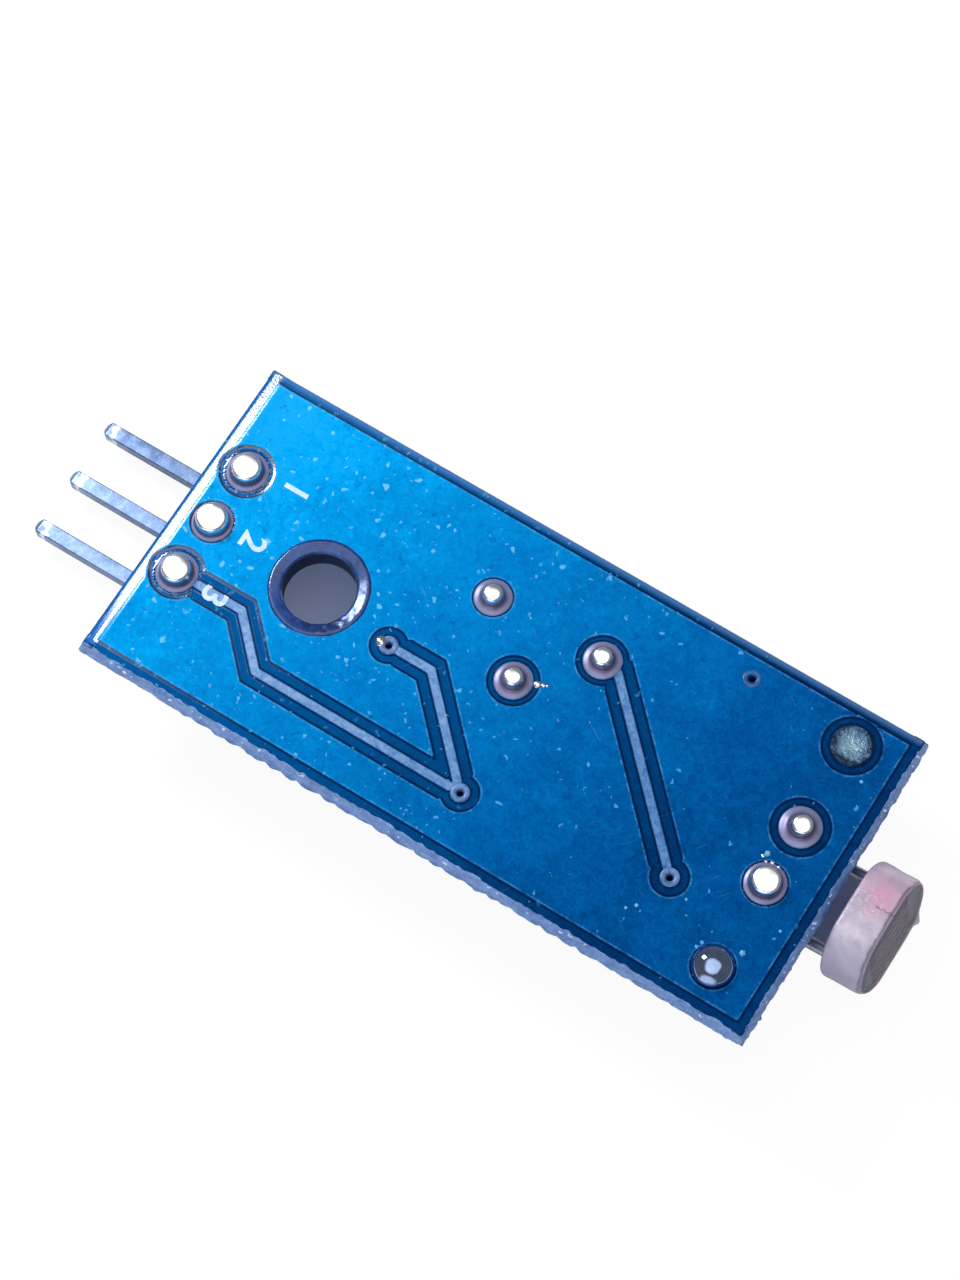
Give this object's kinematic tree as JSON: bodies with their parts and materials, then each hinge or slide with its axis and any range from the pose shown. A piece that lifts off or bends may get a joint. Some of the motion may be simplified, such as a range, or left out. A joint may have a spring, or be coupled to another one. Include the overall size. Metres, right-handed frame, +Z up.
{
  "type": "photoresistor module",
  "caption": "Small blue light-sensor board, solder side up, with a photoresistor past one end, bent header pins at the other and a trimmer underneath.",
  "frame": {"origin": "on the trimmer's flat face, under the middle of the board", "axes": "+Z up through the solder side, +X along the board from the header to the photoresistor, +Y across it"},
  "size_m": [0.0394, 0.014, 0.0067],
  "materials": {
    "laminate": "satin",
    "tinned_copper": "satin",
    "solder_mask": "gloss",
    "track_mask": "gloss",
    "component_mask": "gloss",
    "pin_metal": "satin",
    "lead_metal": "satin",
    "header_plastic": "matte",
    "solder": "bright",
    "ball_solder": "bright",
    "fill_solder": "dull",
    "trimmer_case": "satin",
    "trimmer_rotor": "satin",
    "seal_rubber": "matte",
    "spring_metal": "bright",
    "resistive_film": "matte",
    "white_ceramic": "matte",
    "trimmer_base": "matte",
    "sensor_ceramic": "matte",
    "sensor_film": "matte",
    "sensor_electrodes": "satin",
    "sensor_coat": "gloss",
    "case_black": "matte",
    "resistor_body": "satin",
    "chip_ends": "satin",
    "capacitor_body": "satin",
    "lamp_base": "matte",
    "lamp_contacts": "bright",
    "lamp_lens": "gloss"
  },
  "bodies": {
    "board": {"chip_solder": "solder", "comparator_body": "case_black", "comparator_legs": "lead_metal", "comparator_solder": "solder", "component_side_tracks": "component_mask", "ground_plane": "solder_mask", "header_block": "header_plastic", "header_pin_1": "pin_metal", "header_pin_2": "pin_metal", "header_pin_3": "pin_metal", "header_solder": "solder", "hole_plating": "tinned_copper", "laminate": "laminate", "output_lamp_base": "lamp_base", "output_lamp_contacts": "lamp_contacts", "output_lamp_lens": "lamp_lens", "output_lamp_resistor_body": "resistor_body", "output_lamp_resistor_caps": "chip_ends", "output_resistor_body": "resistor_body", "output_resistor_caps": "chip_ends", "output_track": "track_mask", "power_lamp_base": "lamp_base", "power_lamp_contacts": "lamp_contacts", "power_lamp_lens": "lamp_lens", "power_lamp_resistor_body": "resistor_body", "power_lamp_resistor_caps": "chip_ends", "sensor_capacitor_body": "capacitor_body", "sensor_capacitor_caps": "chip_ends", "sensor_ceramic": "sensor_ceramic", "sensor_coat": "sensor_coat", "sensor_electrodes": "sensor_electrodes", "sensor_film": "sensor_film", "sensor_lead_ground": "lead_metal", "sensor_lead_signal": "lead_metal", "sensor_resistor_body": "resistor_body", "sensor_resistor_caps": "chip_ends", "sensor_solder": "solder", "solder_ball": "ball_solder", "solder_side_pads": "tinned_copper", "spare_pad_fill": "fill_solder", "supply_capacitor_body": "capacitor_body", "supply_capacitor_caps": "chip_ends", "trimmer_base": "trimmer_base", "trimmer_case": "trimmer_case", "trimmer_ceramic": "white_ceramic", "trimmer_film": "resistive_film", "trimmer_leg_1": "lead_metal", "trimmer_leg_2": "lead_metal", "trimmer_leg_3": "lead_metal", "trimmer_seal": "seal_rubber", "trimmer_solder": "solder", "trimmer_track": "track_mask"},
    "adjuster": {"trimmer_rotor": "trimmer_rotor", "trimmer_wiper": "spring_metal"}
  },
  "joints": [
    {"name": "sensitivity_adjust", "type": "hinge", "parent": "board", "child": "adjuster", "pos_m": [0.00021, 0.00194, 0], "axis": [0, 0, 1], "range_deg": [-120, 120]}
  ]
}
